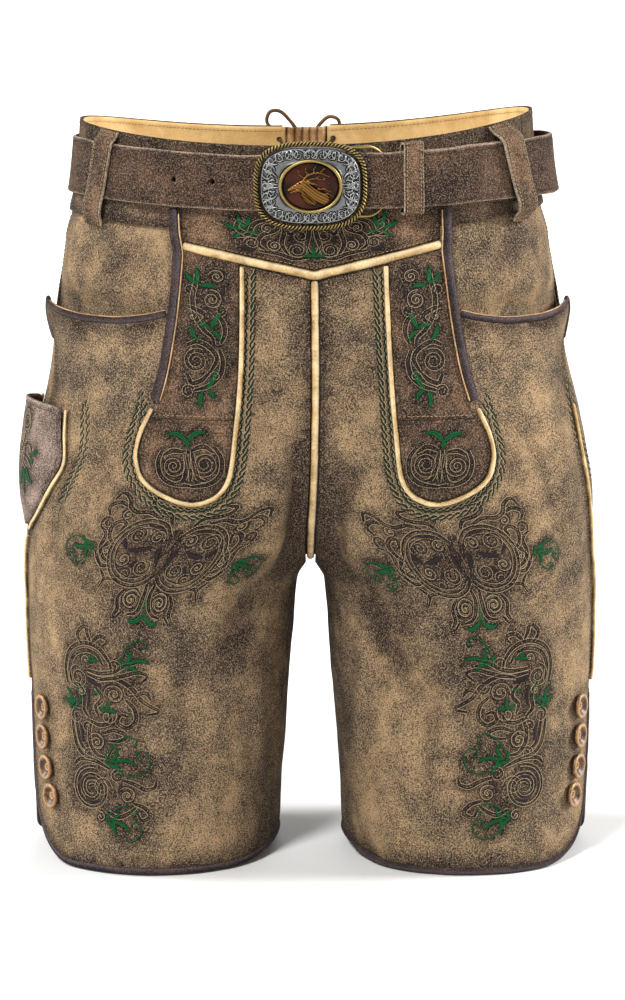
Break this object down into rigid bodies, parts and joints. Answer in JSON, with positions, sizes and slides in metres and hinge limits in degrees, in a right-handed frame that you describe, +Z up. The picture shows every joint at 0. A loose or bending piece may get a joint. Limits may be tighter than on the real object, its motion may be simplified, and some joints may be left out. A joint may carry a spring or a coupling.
{
  "type": "lederhosen",
  "caption": "Knee-length suede lederhosen with a buttoned drop front, V-shaped yoke, piped tabs, side pockets, knife pocket, back lacing and a belt with an oval buckle, filled out as if worn.",
  "frame": {"origin": "the middle of the waist opening, level with the middle of the waistband, where the wearer's waist holds the trousers up", "axes": "+Z up, -Y out of the front of the trousers, +X towards the wearer's left"},
  "size_m": [0.4135, 0.2887, 0.5342],
  "materials": {
    "suede": "antiqued greased suede, mottled tan and grey brown, embroidered",
    "dark_suede": "dark brown suede, rolled edges and welts",
    "piping": "cream suede piping",
    "chamois": "pale yellow napped chamois lining",
    "belt_leather": "brown waxed suede belt leather",
    "thong": "brown leather thong",
    "silver": "antiqued silver-coloured cast metal",
    "brass": "aged brass",
    "enamel": "glossy red-brown enamel",
    "horn": "polished brown horn"
  },
  "bodies": {
    "root": {"back_gusset": "suede", "back_panel_left": "suede", "back_panel_right": "suede", "belt_keeper": "suede", "belt_loop_back_left": "suede", "belt_loop_back_right": "suede", "belt_loop_front_left": "suede", "belt_loop_front_right": "suede", "belt_strap": "belt_leather", "belt_tail": "belt_leather", "buckle_bail": "brass", "buckle_plate": "silver", "buckle_rope_rim": "brass", "button_left_1": "horn", "button_left_2": "horn", "button_left_3": "horn", "button_left_4": "horn", "button_right_1": "horn", "button_right_2": "horn", "button_right_3": "horn", "button_right_4": "horn", "centre_welt": "piping", "flap_welt_left": "dark_suede", "flap_welt_right": "dark_suede", "flap_yoke": "suede", "front_panel_left": "suede", "front_panel_right": "suede", "hem_binding_left": "dark_suede", "hem_binding_right": "dark_suede", "hip_piece_left": "suede", "hip_piece_right": "suede", "knife_pocket": "suede", "knife_pocket_piping": "piping", "lace_crossing": "thong", "lace_end_left": "thong", "lace_end_right": "thong", "lace_knot": "thong", "lace_loop_left": "thong", "lace_loop_right": "thong", "medallion": "enamel", "medallion_rim": "brass", "pocket_binding_left": "dark_suede", "pocket_binding_right": "dark_suede", "side_welt_left": "piping", "side_welt_right": "piping", "stag_relief": "brass", "tab_pad_left": "suede", "tab_pad_right": "suede", "tab_piping_left": "piping", "tab_piping_right": "piping", "tab_strap_left": "suede", "tab_strap_right": "suede", "waist_lining_left": "chamois", "waist_lining_right": "chamois", "waistband_back_left": "suede", "waistband_back_right": "suede", "waistband_front_left": "suede", "waistband_front_right": "suede", "yoke_piping": "piping"}
  },
  "joints": []
}
